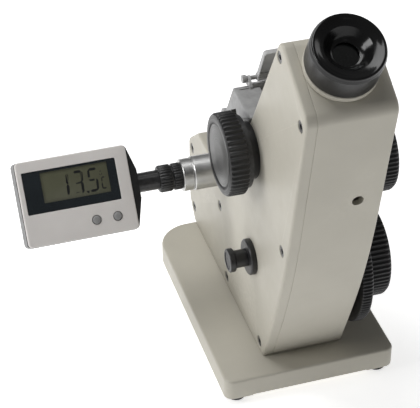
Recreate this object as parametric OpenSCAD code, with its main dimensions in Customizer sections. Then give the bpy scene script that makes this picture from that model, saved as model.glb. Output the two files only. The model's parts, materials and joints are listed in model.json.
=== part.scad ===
// Bench refractometer of the Abbe kind with a screw-in digital thermometer.
// Every piece is drawn from the instrument datum (middle of the base's front
// edge, on the base's upper face) and inst() carries it to the part's origin,
// which is the middle of the whole outline at the level of the table.

/* [Base] */
// Width of the cast base plate
base_w = 100; // [90:1:110]
// Depth of the base plate, front to rear
base_l = 148; // [146:1:156]
// Thickness of the base plate
base_t = 13; // [10:0.5:16]
// Height of the rubber feet below the base plate
foot_h = 3; // [2:0.5:4]

/* [Housing] */
// Left outer face of the body (outside of the cover plate)
body_xl = -23.5; // [-25:0.5:-22]
// Right outer face of the body
body_xr = 23.75; // [22:0.25:26]
// Thickness of the screwed-on cover plate
cover_t = 6; // [4:0.5:7]
// Wall thickness of the casting
wall = 4; // [3:0.5:4.5]
// Radius that blends the lower and upper part of the front face
front_blend_r = 480; // [300:10:500]

/* [Telescope and eyepiece] */
// Lean of the telescope axis towards the user, in degrees
tel_lean = 30; // [30:1:30]
// Sideways place of the telescope axis
tel_x = 1; // [0:0.5:2]
// Radius of the eyepiece cup at its mouth
cup_r = 18.2; // [17:0.1:19]
// Height of the eyepiece cup above the housing
cup_top = 26.2; // [25:0.2:28]

/* [Handwheels] */
// Radius of the prism lock handwheel
lock_wheel_r = 22.4; // [20:0.1:23]
// Radius of the dispersion handwheel
disp_wheel_r = 23; // [20:0.1:24]
// Radius of the index handwheel's outer drum
index_wheel_r = 26.8; // [24:0.1:28]
// Radius of the index handwheel's large inner rim
index_rim_r = 38.8; // [36:0.1:39.5]
// Number of finger ribs round a handwheel
ribs = 60; // [40:2:80]

/* [Prism seats] */
// Height of the parting plane between the two prism seats
part_z = 110; // [108:0.5:112]
// Height of the flat top of the light-entering seat
seat_top = 143; // [140:0.5:145]
// Depth of the prism seats behind the slope of the housing
seat_n = 28; // [26:0.5:30]

/* [Thermometer] */
// Width of the display
head_w = 63; // [58:0.5:66]
// Height of the display
head_h = 47.8; // [44:0.2:50]
// Lean of the display's face from the vertical, in degrees
head_lean = 37; // [30:1:45]
// Radius of the bright thermometer seat
sleeve_r = 9.7; // [9:0.1:11]

/* [Hidden] */
$fn = 96;

seam_x = body_xl + cover_t;
cav_xr = body_xr - wall;

// places in the instrument datum: [y, z]
lock_p  = [40.5, 125.0];
cond_p  = [37.0, 55.9];
index_p = [37.0, 45.2];
tel_o   = [-14.4, 200.0];
disp_p  = [tel_o[0] + 98.5 * sin(tel_lean), tel_o[1] - 98.5 * cos(tel_lean)];
sect_p  = [tel_o[0] + 133 * sin(tel_lean), tel_o[1] - 133 * cos(tel_lean)];
slope_o = [21.0, 179.1];
therm_p = [90.0, 80.0];
hinge_p = [98.5, part_z + 0.15];
refl_p  = [75.8, 146.4];
keep_p  = [62.3, 122.2];
// screw that sets the zero of the scale: [x, z]
cal_p   = [10.4, 130.9];
// water nozzles on the right faces of the seats
low_nz  = [[83.9, 86.1], [96.3, 88.6]];
up_nz   = [[65.1, 130.7], [77.0, 127.1]];
head_x  = -78.8;

cover_screw_p = [[0.2, 205.0], [-31.0, 184.8], [96.8, 48.3], [83.1, 5.6], [22.3, 6.0],
 [-10.1, 94.5], [149.8, 10.1], [153.2, 52.0]];

// side outline of the body, counter-clockwise: [y, z, corner radius]
body_q = [[16, 0, 0], [149.5, 0, 3], [159.6, 12, 8], [160.4, 55, 6], [141, 71, 8],
 [83.4, 71, 8], [0.04, 215.4, 6], [-39.5, 192.3, 7], [-13.6, 71.4, front_blend_r]];

function unit(v) = v / norm(v);
function side(a, b) = a[0] * b[1] - a[1] * b[0];
function wrapd(a) = a > 180 ? a - 360 : a < -180 ? a + 360 : a;
function fil(p0, p1, p2, r) = r <= 0 ? [p1] :
  let (a = unit(p0 - p1), b = unit(p2 - p1), h = acos(a * b) / 2,
       c = p1 + unit(a + b) * (r / sin(h)),
       s = p1 + a * (r / tan(h)) - c, e = p1 + b * (r / tan(h)) - c,
       a0 = atan2(s[1], s[0]), da = wrapd(atan2(e[1], e[0]) - a0),
       n = max(ceil(abs(da) / 10), ceil(r * abs(da) / 57.3 / 9)))
  [for (i = [0:n]) c + r * [cos(a0 + da * i / n), sin(a0 + da * i / n)]];
function p2(v) = [v[0], v[1]];
function rounded(q) = [for (i = [0:len(q) - 1]) let (m = len(q))
  each fil(p2(q[(i + m - 1) % m]), p2(q[i]), p2(q[(i + 1) % m]), q[i][2])];
function inset(q, t) = [for (i = [0:len(q) - 1]) let (m = len(q),
    e0 = unit(p2(q[i]) - p2(q[(i + m - 1) % m])), e1 = unit(p2(q[(i + 1) % m]) - p2(q[i])),
    n0 = [-e0[1], e0[0]], n1 = [-e1[1], e1[0]], v = t * (n0 + n1) / (1 + n0 * n1),
    r = side(e0, e1) > 0 ? max(q[i][2] - t, 0.6) : q[i][2] + t)
  [q[i][0] + v[0], q[i][1] + v[1], r]];
function rect_q(x0, y0, x1, y1, r) = [[x0, y0, r], [x1, y0, r], [x1, y1, r], [x0, y1, r]];

// the outline runs from the display's left edge to the handwheels, and from the
// eyepiece's lip to the rear of the body
wheel_xr = 50.5;
mid_x = (head_x - head_w + wheel_xr) / 2;
mid_y = (max([for (p = rounded(body_q)) p[0]])
  + tel_o[0] - (cup_top - 0.9) * sin(tel_lean) - cup_r * cos(tel_lean)) / 2;
module inst() { translate([-mid_x, -mid_y, base_t + foot_h]) children(); }
// extrudes a [y, z] outline along X from x0 to x1
module yz(x0, x1) { translate([x0, 0, 0]) rotate([90, 0, 90]) linear_extrude(height = x1 - x0) children(); }
module xcyl(x0, x1, p, r) { translate([x0, p[0], p[1]]) rotate([0, 90, 0]) cylinder(h = x1 - x0, r = r); }
// frame on the telescope axis: z up the axis, y to the rear and up
module tel() { translate([tel_x, tel_o[0], tel_o[1]]) rotate([tel_lean, 0, 0]) children(); }
// frame on the slope behind the housing: z up the slope, y away from it
module slope() { translate([0, slope_o[0], slope_o[1]]) rotate([tel_lean, 0, 0]) children(); }
// frame of the display: x along the stem, z up the face, -y out of the face
module head() { translate([0, therm_p[0], therm_p[1]]) rotate([-head_lean, 0, 0]) children(); }
// ring of finger ribs on a wheel that runs along X
module ribbed(x0, x1, p, r, n, d) {
  xcyl(x0, x1, p, r - d);
  for (i = [0:n - 1]) let (a = i * 360 / n)
    translate([x0 + 0.8, p[0], p[1]]) rotate([a, 0, 0])
      translate([0, -PI * r / n * 0.55, r - d - 0.6]) cube([x1 - x0 - 1.6, PI * r / n * 1.1, d + 0.6]);
}
// spur gear outline with straight-sided teeth, m is the module
module spur(teeth, m, thin) {
  r = teeth * m / 2;
  circle(r = r - 1.15 * m);
  for (i = [0:teeth - 1]) rotate(i * 360 / teeth)
    polygon([[r - 1.4 * m, -0.95 * m], [r + 0.75 * m, -0.32 * m * thin],
             [r + 0.75 * m, 0.32 * m * thin], [r - 1.4 * m, 0.95 * m]]);
}

// ---------------------------------------------------------------- base
module base_plate() {
  color("ivory") inst() translate([0, 0, -base_t]) difference() {
    linear_extrude(height = base_t) translate([0, base_l])
      mirror([0, 1]) polygon(rounded([[-base_w / 2, 0, 20], [base_w / 2, 0, 20],
        [base_w / 2, base_l, 5], [-base_w / 2, base_l, 5]]));
    // the underside bears on pads at the corners only
    translate([-base_w / 2 + 16, -1, -1]) cube([base_w - 32, 12, 2]);
    translate([-base_w / 2 + 22, base_l - 11, -1]) cube([base_w - 44, 12, 2]);
    for (s = [-1, 1]) translate([s > 0 ? base_w / 2 - 11 : -base_w / 2 - 1, 16, -1])
      cube([12, base_l - 40, 2]);
    // pocket that lightens the casting
    translate([0, 0, -1]) linear_extrude(height = 7)
      polygon(rounded(rect_q(-base_w / 2 + 12, 18, base_w / 2 - 12, base_l - 18, 8)));
  }
}
module rubber_feet() {
  color("black") inst() for (x = [-1, 1], y = [7.5, base_l - 14])
    translate([x * (base_w / 2 - (y < 20 ? 8 : 14)), y, -base_t - foot_h])
      cylinder(h = foot_h, r1 = 5.4, r2 = 6);
}

// ---------------------------------------------------------------- body
module body_cut_bores() {
  // bearing holes of the two right-hand shafts
  xcyl(cav_xr - 1, body_xr + 1, disp_p, 7);
  xcyl(cav_xr - 1, body_xr + 1, index_p, 7);
  // mouth of the eyepiece
  tel() translate([0, 0, -12]) cylinder(h = 24, r = 13.5);
  // small hole for the calibration screwdriver
  translate([cal_p[0], -33, cal_p[1]]) rotate([-90, 0, 0]) cylinder(h = 14, r = 3.2);
  // window behind the refracting prism
  slope() translate([-9, -6, -106]) cube([20, 8, 17]);
  // blind bearing of the sector
  xcyl(cav_xr - 4, cav_xr + 1.5, sect_p, 3.06);
}
module housing() {
  color("ivory") inst() difference() {
    union() {
      difference() {
        yz(seam_x, body_xr) polygon(rounded(body_q));
        yz(seam_x - 1, cav_xr) polygon(rounded(inset(body_q, wall)));
      }
      for (i = [0:len(cover_screw_p) - 1])
        xcyl(seam_x, i == 2 ? cav_xr + 1 : seam_x + 8, cover_screw_p[i], 4);
      // webs that tie the screw bosses to the walls
      for (w = [[149.8, 10.1, 4], [153.2, 52, 4], [22.3, 6, 4], [83.1, 5.6, 4], [-10.1, 94.5, 4]])
        intersection() {
          xcyl(seam_x, seam_x + 8, [w[0], w[1]], w[2] + 3.2);
          yz(seam_x, seam_x + 8) polygon(rounded(body_q));
        }
      xcyl(cav_xr - 3.2, cav_xr + 1, sect_p, 6);
      // lug that carries the calibration screw
      translate([7, -16, cal_p[1] - 4.9]) cube([cav_xr - 6, 6, 10]);
      // pad that carries the barrel
      tel() translate([12.25, -8, -44]) cube([cav_xr - tel_x - 11.6, 16, 6]);
    }
    body_cut_bores();
    for (p = cover_screw_p) xcyl(seam_x - 1, seam_x + 7, p, 1.7);
    translate([cal_p[0], -17, cal_p[1]]) rotate([-90, 0, 0]) cylinder(h = 8, r = 2.06);
  }
}
module left_cover_plate() {
  color("ivory") inst() difference() {
    union() {
      yz(body_xl, seam_x) polygon(rounded(body_q));
      xcyl(seam_x - 1, seam_x + 3.5, sect_p, 6);
    }
    for (p = cover_screw_p) {
      xcyl(body_xl - 1, seam_x + 1, p, 1.8);
      xcyl(body_xl - 1, body_xl + 2.6, p, 3.3);
    }
    xcyl(body_xl - 1, seam_x + 1, lock_p, 7);
    xcyl(body_xl - 1, seam_x + 1, cond_p, 8);
    xcyl(seam_x + 0.5, seam_x + 5, sect_p, 3.06);
  }
}
module cover_screws() {
  color("dimgray") inst() for (p = cover_screw_p) difference() {
    union() {
      xcyl(body_xl + 0.4, body_xl + 2.6, p, 3.2);
      xcyl(body_xl + 2, seam_x + 6, p, 1.65);
    }
    translate([body_xl, p[0], p[1]]) rotate([0, 90, 0]) cylinder(h = 1.6, r = 1.5, $fn = 6);
  }
}
module shaft_bushes() {
  color("darkgoldenrod") inst() for (p = [disp_p, index_p]) difference() {
    union() {
      xcyl(cav_xr, body_xr + 0.2, p, 6.98);
      xcyl(body_xr, body_xr + 2, p, 9);
    }
    xcyl(cav_xr - 1, body_xr + 3, p, 4.05);
  }
}

// ---------------------------------------------------------------- eyepiece
module eyepiece_collar() {
  color("ivory") inst() tel() difference() {
    union() {
      translate([0, 0, 6.2]) cylinder(h = 3.1, r = 18.9);
      translate([0, 0, -8]) cylinder(h = 14.5, r = 13.4);
    }
    translate([0, 0, -9]) cylinder(h = 20, r = 11.06);
  }
}
module eyepiece_cell() {
  color("dimgray") inst() tel() difference() {
    union() {
      translate([0, 0, -7]) cylinder(h = 19.6, r = 11);
      translate([0, 0, 10.2]) cylinder(h = 6.8, r = 12.6);
    }
    translate([0, 0, -8]) cylinder(h = 30, r = 8.5);
    translate([0, 0, 15.5]) cylinder(h = 3, r = 9.4);
    translate([0, 0, -8]) cylinder(h = 3.5, r = 9.6);
  }
}
module eye_lens() {
  color("lightblue") inst() tel() translate([0, 0, 15.5]) intersection() {
    cylinder(h = 3, r = 9.4);
    translate([0, 0, -26.5]) sphere(r = 29.3);
  }
}
module field_lens() {
  color("lightblue") inst() tel() translate([0, 0, -7]) intersection() {
    cylinder(h = 2.5, r = 9.55);
    translate([0, 0, -34]) sphere(r = 36.4);
  }
}
module eyepiece_cup() {
  color("black") inst() tel() difference() {
    rotate_extrude() polygon([[0, 9.7], [18.3, 9.7], [18.7, 10.6], [18.7, 20.2],
      [cup_r, cup_top - 0.9], [cup_r - 0.9, cup_top], [cup_r - 2.2, cup_top],
      [10.8, cup_top - 2.4], [7.0, cup_top - 6.4], [0, cup_top - 6.4]]);
    translate([0, 0, cup_top - 8]) cylinder(h = 4, r = 6.6);
    translate([0, 0, 9]) cylinder(h = 10, r = 12.7);
  }
}
module reticle() {
  color("lightcyan") inst() tel() translate([0, 0, -31]) cylinder(h = 1.6, r = 9.4);
}
module telescope_barrel() {
  color("dimgray") inst() tel() difference() {
    union() {
      translate([0, 0, -72]) cylinder(h = 48, r = 10.8);
      translate([0, 0, -44]) cylinder(h = 6, r = 12.2);
    }
    translate([0, 0, -73]) cylinder(h = 50, r = 8.2);
    translate([0, 0, -31]) cylinder(h = 8, r = 9.42);
    translate([0, 0, -73]) cylinder(h = 5, r = 9.42);
  }
}
module objective_lens() {
  color("lightblue") inst() tel() translate([0, 0, -72]) cylinder(h = 4, r = 9.4);
}

// ---------------------------------------------------------------- colour compensator
module compensator_frame() {
  color("dimgray") inst() tel() difference() {
    union() {
      translate([0, 0, -76]) cylinder(h = 3.2, r = 14.2);
      // spigots that the two cells turn on
      translate([0, 0, -79.4]) cylinder(h = 4, r = 7.5);
      translate([0, 0, -121.6]) cylinder(h = 4, r = 7.5);
      translate([12, -14, -76]) cube([cav_xr - tel_x - 12, 28, 3.2]);
      translate([15.8, -14, -123]) cube([cav_xr - tel_x - 15.8, 28, 48]);
      translate([0, 0, -124]) cylinder(h = 3, r = 14.2);
      translate([12, -14, -124]) cube([cav_xr - tel_x - 12, 28, 3]);
    }
    translate([0, 0, -81]) cylinder(h = 10, r = 6.2);
    translate([0, 0, -126]) cylinder(h = 10, r = 6.2);
    translate([15, 0, -98.5]) rotate([0, 90, 0]) cylinder(h = 6, r = 4.4);
  }
}
module prism_cell(up) {
  tel() translate([0, 0, -98.5]) rotate([up ? 0 : 180, 0, 0]) difference() {
    union() {
      translate([0, 0, 5.2]) cylinder(h = 16.6, r = 10);
      translate([0, 0, 5.2]) cylinder(h = 3, r = 14.6);
      for (i = [0:35]) rotate(i * 10) translate([11, -0.45, 4.9]) cube([3.4, 0.9, 0.5]);
    }
    translate([0, 0, 4]) cylinder(h = 20, r = 7.6);
  }
}
module amici(up) {
  tel() translate([0, 0, -98.5]) rotate([up ? 0 : 180, 0, 0])
    translate([0, 0, 6.2]) intersection() {
      translate([-5.6, -5.6, 0]) cube([11.2, 11.2, 12]);
      cylinder(h = 12, r = 7.6);
    }
}
module upper_prism_cell() { color("darkgoldenrod") inst() prism_cell(true); }
module lower_prism_cell() { color("darkgoldenrod") inst() prism_cell(false); }
module upper_amici_prism() { color("lightblue") inst() amici(true); }
module lower_amici_prism() { color("lightblue") inst() amici(false); }
module dispersion_shaft() {
  color("silver") inst() {
    xcyl(15.6, 49, disp_p, 4);
    translate([12, disp_p[0], disp_p[1]]) rotate([0, 90, 0]) rotate_extrude()
      polygon([[0, 0], [4.0, 0], [4.7, 3.4], [4.0, 3.7], [0, 3.7]]);
    xcyl(16.4, 18.4, disp_p, 4.2);
  }
}
module dispersion_handwheel() {
  color("black") inst() difference() {
    ribbed(38.4, 50.5, disp_p, disp_wheel_r, ribs, 0.9);
    xcyl(38, 49, disp_p, 4.01);
    xcyl(49.9, 51, disp_p, 15.4);
  }
}
module dispersion_scale_ring() {
  color("gainsboro") inst() difference() {
    union() {
      xcyl(29, 38.2, disp_p, 17.2);
      xcyl(26.2, 29.5, disp_p, 12);
    }
    xcyl(26, 38.5, disp_p, 4.01);
  }
}

// ---------------------------------------------------------------- index drive
module index_shaft() {
  color("silver") inst() {
    xcyl(17.2, 48.6, index_p, 4);
    xcyl(16.2, 17.4, index_p, 3);
    yz(11, 16.2) translate([index_p[0], index_p[1]]) rotate(69.1 + 12) spur(15, 0.8, 0.8);
  }
}
module index_handwheel() {
  color("black") inst() difference() {
    ribbed(34.4, 50, index_p, index_wheel_r, ribs, 1.0);
    xcyl(34, 48.6, index_p, 4.01);
    xcyl(49.4, 51, index_p, 20.5);
  }
}
module index_handwheel_rim() {
  color("black") inst() difference() {
    ribbed(27.6, 34.2, index_p, index_rim_r, 108, 0.9);
    xcyl(27, 35, index_p, 4.01);
    xcyl(27, 28.8, index_p, 33);
  }
}
module sector_arc(r0, r1, mid, half) {
  difference() {
    intersection() {
      circle(r = r1);
      polygon([[0, 0], [60 * cos(mid - half), 60 * sin(mid - half)],
               [60 * cos(mid), 60 * sin(mid)], [60 * cos(mid + half), 60 * sin(mid + half)]]);
    }
    circle(r = r0);
  }
}
module scale_sector() {
  color("darkgoldenrod") inst() {
    // bearing stubs
    xcyl(-15.8, -11.2, sect_p, 3);
    xcyl(14.6, 20.8, sect_p, 3);
    // hubs at both ends and the flat bar between them that carries the mirror
    xcyl(-11.4, -7.4, sect_p, 7);
    xcyl(9.6, 14.8, sect_p, 7);
    difference() {
      xcyl(-8, 10, sect_p, 7);
      translate([-7.4, sect_p[0], sect_p[1]]) rotate([-15, 0, 0]) translate([0, -10, -1]) cube([17, 20, 12]);
    }
    // toothed sector in mesh with the shaft's pinion
    yz(11.4, 14.4) translate([sect_p[0], sect_p[1]]) {
      difference() {
        union() {
          sector_arc(0, 35.5, -110.9, 24);
          for (i = [-5:5]) rotate(-110.9 + i * 360 / 91)
            polygon([[35.2, -0.76], [37.0, -0.22], [37.0, 0.22], [35.2, 0.76]]);
        }
        sector_arc(12, 30, -110.9, 16);
      }
    }
    // arm that carries the graduated glass
    yz(-10, -8) translate([sect_p[0], sect_p[1]]) difference() {
      sector_arc(0, 38.4, -117.6, 24);
      sector_arc(28.9, 36.3, -117.6, 20);
      sector_arc(11, 26, -117.6, 16);
    }
  }
}
module scale_glass() {
  color("lightcyan") inst() yz(-11.4, -10) translate([sect_p[0], sect_p[1]]) sector_arc(28, 37.2, -117.6, 22);
}
module swing_mirror() {
  color("silver") inst() translate([0, sect_p[0], sect_p[1]]) rotate([-15, 0, 0])
    translate([-6.4, -8.6, -1]) cube([15, 17.2, 1.2]);
}
module reading_tube() {
  color("dimgray") inst() tel() translate([-1, -27.5, -136]) difference() {
    union() {
      translate([0, 0, -20]) cylinder(h = 96, r = 5.4);
      translate([4, -3, 20]) cube([cav_xr - 4, 6, 8]);
      translate([4, -3, 48]) cube([cav_xr - 4, 6, 8]);
    }
    translate([0, 0, -19]) cylinder(h = 96, r = 4.2);
    translate([-8, 0, -14.5]) rotate([0, 90, 0]) cylinder(h = 6, r = 3);
  }
}
module reading_prism() {
  color("lightblue") inst() tel() translate([-1, -27.5, -155]) difference() {
    cylinder(h = 8.6, r = 4.2);
    translate([-4.3, -6, 0]) rotate([0, -45, 0]) translate([-2, 0, -12]) cube([18, 12, 12]);
  }
}

module calibration_screw() {
  color("silver") inst() translate([cal_p[0], 0, cal_p[1]]) rotate([90, 0, 0]) difference() {
    union() {
      translate([0, 0, 8]) cylinder(h = 10.5, r = 2);
      translate([0, 0, 18]) cylinder(h = 2.6, r = 2.9);
    }
    translate([0, 0, 19.2]) cylinder(h = 3, r = 1.3, $fn = 4);
  }
}

// ---------------------------------------------------------------- scale lighting
module condenser_bush() {
  color("black") inst() difference() {
    union() {
      xcyl(body_xl - 3.4, body_xl, cond_p, 10.2);
      xcyl(body_xl - 0.2, seam_x + 2.4, cond_p, 7.98);
    }
    xcyl(body_xl - 4, seam_x + 3, cond_p, 5.06);
  }
}
module condenser_knob() {
  color("black") inst() difference() {
    union() {
      xcyl(-37.6, -34.2, cond_p, 6.7);
      xcyl(-34.4, -13.4, cond_p, 5);
      xcyl(-14.8, -13.2, cond_p, 6.4);
    }
    xcyl(-38, -12, cond_p, 3.6);
    xcyl(-38, -36.4, cond_p, 5.1);
  }
}
module condenser_lens() {
  color("lightblue") inst() xcyl(-37.3, -36.4, cond_p, 5.08);
}

// ---------------------------------------------------------------- prism seats
module refracting_prism_seat() {
  color("gray") inst() difference() {
    union() {
      yz(-23.2, 19) polygon([slope_pt(0, 76), slope_pt(0, part_z), slope_pt(seat_n, part_z), slope_pt(seat_n, 76)]);
      for (x = [[-21, -14.2], [8.2, 15]]) {
        xcyl(x[0], x[1], hinge_p, 3.6);
        translate([x[0], 90, 103]) cube([x[1] - x[0], 8.5, 6.6]);
      }
      // ears of the shutter's pin
      slope() for (x = [-13.2, 8.1]) translate([x, seat_n - 2, -109.4]) cube([2.1, 5.2, 4.6]);
    }
    // pocket of the prism, light path to the front and window to the rear
    yz(-12, 12) polygon([[65, part_z + 1], [89, part_z + 1], [89, part_z], [77, 97], [65, part_z]]);
    slope() translate([-8, -2, -104]) cube([16, 16, 13]);
    yz(-6, 4) polygon([[81, 101.33], [87, 107.83], [102, 98.9], [105.5, 92.9]]);
    // thermometer well
    xcyl(-24, -9, therm_p, 5);
    // water holes
    for (p = low_nz) xcyl(13, 20, p, 1.6);
    xcyl(-22, 16, hinge_p, 2.04);
    slope() xcyl(-14, 11, [seat_n + 1.7, -107], 0.84);
    // room for the middle knuckle
    xcyl(-14.2, 8.2, hinge_p, 4.2);
  }
}
function slope_pt(n, z) = let (c = cos(tel_lean), s = sin(tel_lean),
   d = (slope_o[1] + n * s - z) / c) [slope_o[0] + n * c + d * s, z];
module refracting_prism() {
  color("lightblue") inst() yz(-12, 12) polygon([[65, part_z], [77, 97], [89, part_z]]);
}
module entering_prism_seat() {
  z0 = part_z + 0.3;
  color("gray") inst() difference() {
    union() {
      yz(-23.2, 19) polygon([slope_pt(1, z0), slope_pt(seat_n, z0), slope_pt(seat_n, seat_top), slope_pt(1, seat_top)]);
      xcyl(-13.9, 7.9, hinge_p, 3.6);
      translate([-13.9, 90, z0]) cube([21.8, 8.5, 3.3]);
      for (x = [-14.6, 17.3]) {
        translate([x, refl_p[0] - 6, seat_top - 1]) cube([1.7, 6, 3]);
        xcyl(x, x + 1.7, refl_p, 2.4);
      }
      // low ledge under the reflector
      translate([-12.9, 71.6, seat_top - 0.5]) cube([30.2, 1.4, 2.9]);
    }
    yz(-11, 11) polygon([[66, z0 - 1], [88, z0 - 1], [88, z0], [82, 124], [72, 124], [66, z0]]);
    translate([-9, 62, 120]) cube([18, 9, seat_top]);
    translate([-9, 62, 121]) cube([18, 19, 3]);
    // fine line in front of the rear edge
    translate([-20.5, slope_pt(seat_n, seat_top)[0] - 3.4, seat_top - 0.7]) cube([37, 0.7, 2]);
    for (p = up_nz) xcyl(13, 20, p, 1.6);
    xcyl(-16, 16, hinge_p, 2.04);
    xcyl(-24, -19, keep_p, 1.52);
    xcyl(-20, 24, refl_p, 1.24);
    // room for the outer knuckles and lugs
    for (x = [[-21.3, -13.9], [7.9, 15.3]]) {
      xcyl(x[0], x[1], hinge_p, 4.2);
      translate([x[0], 89, z0 - 4]) cube([x[1] - x[0], 12, 3.9]);
    }
  }
}
module entering_prism() {
  z0 = part_z + 0.3;
  color("lightblue") inst() yz(-11, 11) polygon([[66, z0], [88, z0], [82, 124], [72, 124]]);
}
module prism_hinge_pin() { color("silver") inst() xcyl(-21.6, 15.6, hinge_p, 2); }
module nozzle(p) {
  translate([19, p[0], p[1]]) rotate([0, 90, 0]) difference() {
    union() {
      cylinder(h = 3, r = 4.4, $fn = 6);
      translate([0, 0, 2]) cylinder(h = 14, r = 3);
    }
    translate([0, 0, -1]) cylinder(h = 20, r = 1.6);
  }
}
module lower_water_nozzles() {
  color("silver") inst() for (p = low_nz) nozzle(p);
}
module upper_water_nozzles() {
  color("silver") inst() for (p = up_nz) nozzle(p);
}
module refl_f() { translate([0, refl_p[0], refl_p[1]]) rotate([27.6, 0, 0]) children(); }
module reflector_frame() {
  color("dimgray") inst() refl_f() difference() {
    union() {
      translate([-9, -1.5, 0]) cube([26, 3, 24.6]);
      rotate([0, 90, 0]) translate([0, 0, -9]) cylinder(h = 26, r = 2.4);
    }
    translate([-7.4, 0.1, 3.6]) cube([22.8, 1.9, 19.4]);
    rotate([0, 90, 0]) translate([0, 0, -12]) cylinder(h = 34, r = 1.21);
  }
}
module reflector_mirror() {
  color("silver") inst() refl_f() translate([-7.4, 0.1, 3.6]) cube([22.8, 1.3, 19.4]);
}
module reflector_pin() {
  color("silver") inst() {
    xcyl(-17.2, 19.8, refl_p, 1.2);
    xcyl(-17.4, -15.2, refl_p, 2.2);
    xcyl(19.3, 20.9, refl_p, 2.2);
  }
}
module light_shutter() {
  color("dimgray") inst() slope() {
    translate([-10.8, seat_n + 0.5, -122]) cube([18.6, 1.4, 15]);
    xcyl(-10.8, 7.8, [seat_n + 1.7, -107], 1.4);
    xcyl(-13, 10, [seat_n + 1.7, -107], 0.8);
    translate([-5, seat_n + 1.2, -122]) cube([8, 4, 1.6]);
  }
}
module keeper_pin() {
  color("silver") inst() { xcyl(-30.6, -19, keep_p, 1.5); }
}

// ---------------------------------------------------------------- prism lock
module lock_flange() {
  color("black") inst() difference() {
    union() {
      xcyl(-28, body_xl, lock_p, 15.5);
      xcyl(body_xl - 0.2, seam_x, lock_p, 6.98);
    }
    xcyl(-29, seam_x + 1, lock_p, 5.05);
  }
}
module lock_shaft() {
  color("silver") inst() difference() {
    union() {
      xcyl(-40, -14.2, lock_p, 5);
      xcyl(-17.2, -14.6, lock_p, 6);
    }
    xcyl(-15, -13, lock_p, 2);
  }
}
module lock_cam() {
  color("black") inst() difference() {
    yz(-30.8, -28.3) translate([lock_p[0], lock_p[1]]) {
      circle(r = 19.6);
      sector_arc(0, 22.6, 44, 14);
    }
    xcyl(-31, -28, lock_p, 5.01);
  }
}
module lock_handwheel() {
  color("black") inst() difference() {
    ribbed(-41.6, -31, lock_p, lock_wheel_r, ribs, 0.9);
    xcyl(-40, -30, lock_p, 5.01);
    xcyl(-42, -40.9, lock_p, 17);
  }
}
module lock_wheel_disc() {
  color("silver") inst() difference() {
    xcyl(-41.5, -40.9, lock_p, 16.9);
    xcyl(-42, -41.3, [lock_p[0] + 0.5, lock_p[1] - 9], 0.9);
  }
}

// ---------------------------------------------------------------- thermometer
module thermometer_seat() {
  color("silver") inst() difference() {
    union() {
      xcyl(-42.4, -23.2, therm_p, sleeve_r);
      xcyl(-43, -42.2, therm_p, sleeve_r - 1.2);
      xcyl(-48.8, -42.9, therm_p, sleeve_r - 0.5);
      xcyl(-23.4, -9.2, therm_p, 4.98);
    }
    xcyl(-50, -8, therm_p, 2.9);
  }
}
module thermometer_nut() {
  color("black") inst() difference() {
    union() {
      xcyl(-62.2, -54.6, therm_p, 7.7);
      xcyl(-54.8, -53.6, therm_p, 6.9);
      xcyl(-53.8, -48.9, therm_p, 7.6);
    }
    xcyl(-59.8, -48, therm_p, 2.9);
    xcyl(-63, -59.8, therm_p, 5.5);
  }
}
module thermometer_probe() {
  color("silver") inst() { xcyl(-62, -10, therm_p, 2.5); }
}
module head_q(r) {
  polygon(rounded([[head_x - head_w, -25.2, r], [head_x, -25.2, r],
    [head_x, head_h - 25.2, r], [head_x - head_w, head_h - 25.2, r]]));
}
module display_back_shell() {
  color("black") inst() difference() {
    union() {
      head() difference() {
        rotate([-90, 0, 0]) mirror([0, 1]) translate([0, 0, -7.2]) linear_extrude(height = 16.4) polygon(rounded([
          [head_x - head_w, -25.2, 2.5], [head_x, -25.2, 3], [head_x + 4.4, -8, 3], [head_x + 4.4, 8, 3],
          [head_x, head_h - 25.2, 3], [head_x - head_w, head_h - 25.2, 2.5]]));
        rotate([-90, 0, 0]) mirror([0, 1]) translate([0, 0, -7.4]) linear_extrude(height = 14.6) polygon(rounded([
          [head_x - head_w + 2, -23.2, 3.4], [head_x - 2, -23.2, 3.4],
          [head_x - 2, head_h - 27.2, 3.4], [head_x - head_w + 2, head_h - 27.2, 3.4]]));
      }
      xcyl(-78.6, -59.8, therm_p, 5.48);
    }
    xcyl(-79, -50, therm_p, 2.52);
  }
}
module display_front_shell() {
  color("white") inst() head() difference() {
    rotate([-90, 0, 0]) mirror([0, 1]) translate([0, 0, -10]) linear_extrude(height = 2.6) head_q(2.5);
    // hollow behind the face
    rotate([-90, 0, 0]) mirror([0, 1]) translate([0, 0, -8.2]) linear_extrude(height = 7) polygon(rounded([
      [head_x - head_w + 2, -23.2, 3.4], [head_x - 2, -23.2, 3.4],
      [head_x - 2, head_h - 27.2, 3.4], [head_x - head_w + 2, head_h - 27.2, 3.4]]));
    // opening of the window
    translate([-138.7, -11, -7.2]) cube([52.7, 4, 23.5]);
    for (x = [-102, -90]) translate([x, -7, -16]) rotate([90, 0, 0]) cylinder(h = 5, r = 2.65);
  }
}
module display_window() {
  color("black") inst() head() {
    translate([-138.6, -9.6, -7.1]) cube([52.5, 1.3, 23.3]);
  }
}
module display_electronics() {
  color("darkgreen") inst() head() {
    // display glass on its frame
    translate([-130.4, -8.2, -4]) cube([41, 3.2, 20]);
    // circuit board with its switches
    translate([-139, -5.2, -22]) cube([57, 1.6, 41]);
    for (x = [-102, -90]) translate([x, -5, -16]) rotate([90, 0, 0]) cylinder(h = 1.4, r = 2);
    // round cell in its holder
    translate([-124, -3.8, -8]) rotate([-90, 0, 0]) cylinder(h = 6.4, r = 6.4);
    translate([-108, -3.8, -4]) cube([14, 3, 10]);
  }
}
module lcd_button(x) {
  head() translate([x, 0, -16]) rotate([90, 0, 0]) {
    translate([0, 0, 7.4]) cylinder(h = 3.4, r = 2.45);
    translate([0, 0, 7.1]) cylinder(h = 0.9, r = 3.3);
  }
}
module display_buttons_left() { color("gray") inst() lcd_button(-102); }
module display_buttons_right() { color("gray") inst() lcd_button(-90); }

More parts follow.
